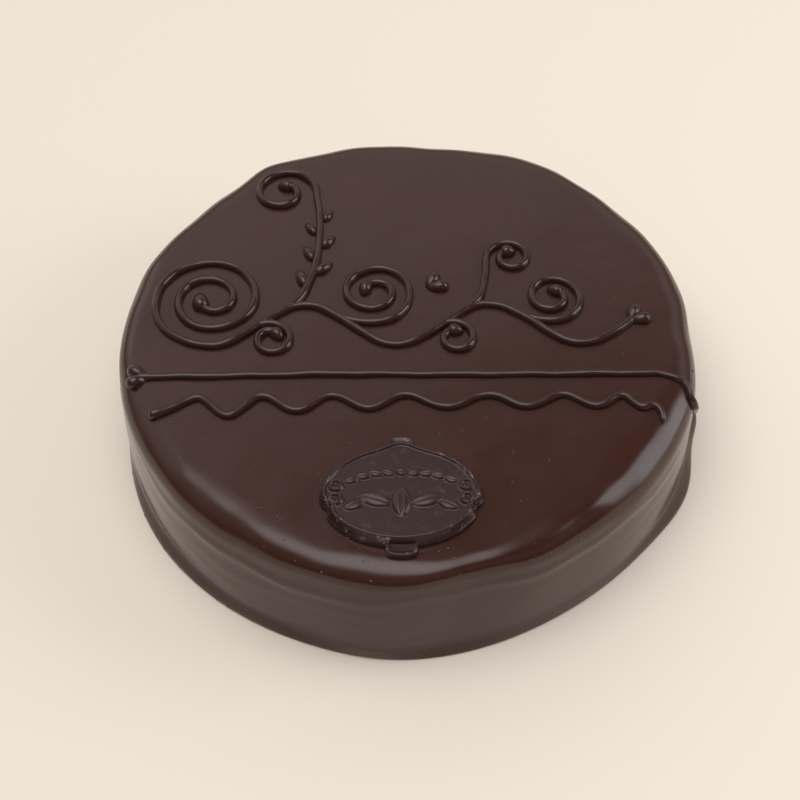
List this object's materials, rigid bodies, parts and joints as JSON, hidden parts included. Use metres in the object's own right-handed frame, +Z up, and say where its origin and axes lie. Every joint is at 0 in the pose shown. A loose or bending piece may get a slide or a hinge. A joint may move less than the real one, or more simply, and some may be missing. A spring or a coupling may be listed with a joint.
{
  "type": "sachertorte cake",
  "caption": "whole round chocolate torte under a smooth poured dark glaze, with piped chocolate scrolls, a straight line and a wavy line on top and a moulded oval plaque near the front edge",
  "frame": {"origin": "centre of the flat base, on the surface the cake stands on", "axes": "+Z up, -Y towards the front edge where the plaque lies, +X to the right seen from the front; metres"},
  "size_m": [0.2269, 0.2219, 0.0581],
  "materials": {
    "chocolate_glaze": "dark chocolate glaze, poured and set, glossy",
    "moulded_chocolate": "dark moulded chocolate, satin, a little scuffed"
  },
  "bodies": {
    "root": {"torte": "chocolate_glaze", "plaque": "moulded_chocolate"}
  },
  "joints": []
}
